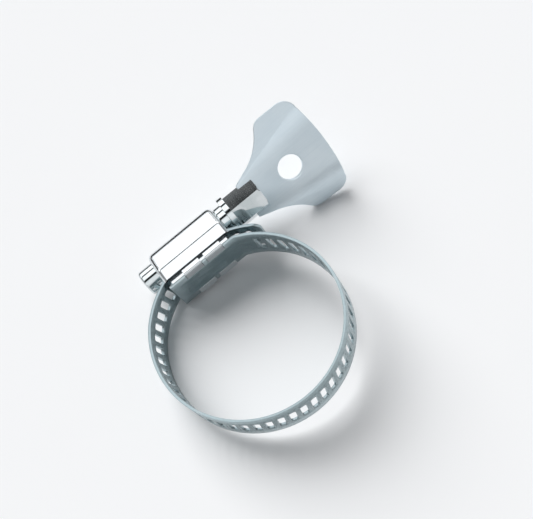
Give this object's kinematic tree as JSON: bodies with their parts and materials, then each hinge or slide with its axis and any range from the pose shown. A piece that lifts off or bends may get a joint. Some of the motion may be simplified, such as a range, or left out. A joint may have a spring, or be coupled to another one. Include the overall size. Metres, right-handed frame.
{
  "type": "worm-drive hose clamp",
  "caption": "Worm-drive hose clamp: a slotted steel band ring, a pressed housing over the worm screw, and a flat winged thumb key.",
  "frame": {"origin": "centre of the hose bore, halfway across the band", "axes": "+Z along the hose, +X along the screw towards its head and key, +Y from the hose to the housing"},
  "size_m": [0.0577, 0.0543, 0.0193],
  "materials": {
    "housing_steel": "bright zinc-plated pressed steel",
    "band_steel": "zinc-plated spring strip, fine rolling grain",
    "screw_steel": "zinc-plated turned and rolled steel, glossy",
    "key_steel": "blue-bright zinc-plated stamped sheet, satin"
  },
  "bodies": {
    "housing": {"housing_dome": "housing_steel", "housing_saddle": "housing_steel", "band_fixed_end": "band_steel"},
    "head_side_band": {"band_head_side": "band_steel"},
    "tip_side_band": {"band_tip_side": "band_steel"},
    "sliding_band": {"band_free_end": "band_steel"},
    "screw": {"worm_screw": "screw_steel", "thumb_key": "key_steel"}
  },
  "joints": [
    {"name": "screw_turn", "type": "hinge", "parent": "housing", "child": "screw", "pos_m": [0, 0.0246, 0], "axis": [-1, 0, 0], "range_deg": [-720, 720]},
    {"name": "head_side_bend", "type": "hinge", "parent": "housing", "child": "head_side_band", "pos_m": [0.0083, 0.01765, 0], "axis": [0, 0, -1], "range_deg": [-5.06, 5.06]},
    {"name": "far_side_bend", "type": "hinge", "parent": "head_side_band", "child": "tip_side_band", "pos_m": [-0.00088, -0.01948, 0], "axis": [0, 0, -1], "range_deg": [-6.15, 6.15]},
    {"name": "tip_side_bend", "type": "hinge", "parent": "tip_side_band", "child": "sliding_band", "pos_m": [-0.01644, 0.0137, 0], "axis": [0, 0, -1], "range_deg": [-2.24, 2.24]}
  ],
  "couplings": [
    {"joint": "head_side_bend", "follows": "screw_turn", "ratio": 0.0070035},
    {"joint": "far_side_bend", "follows": "screw_turn", "ratio": 0.0085096},
    {"joint": "tip_side_bend", "follows": "screw_turn", "ratio": 0.0030798}
  ]
}
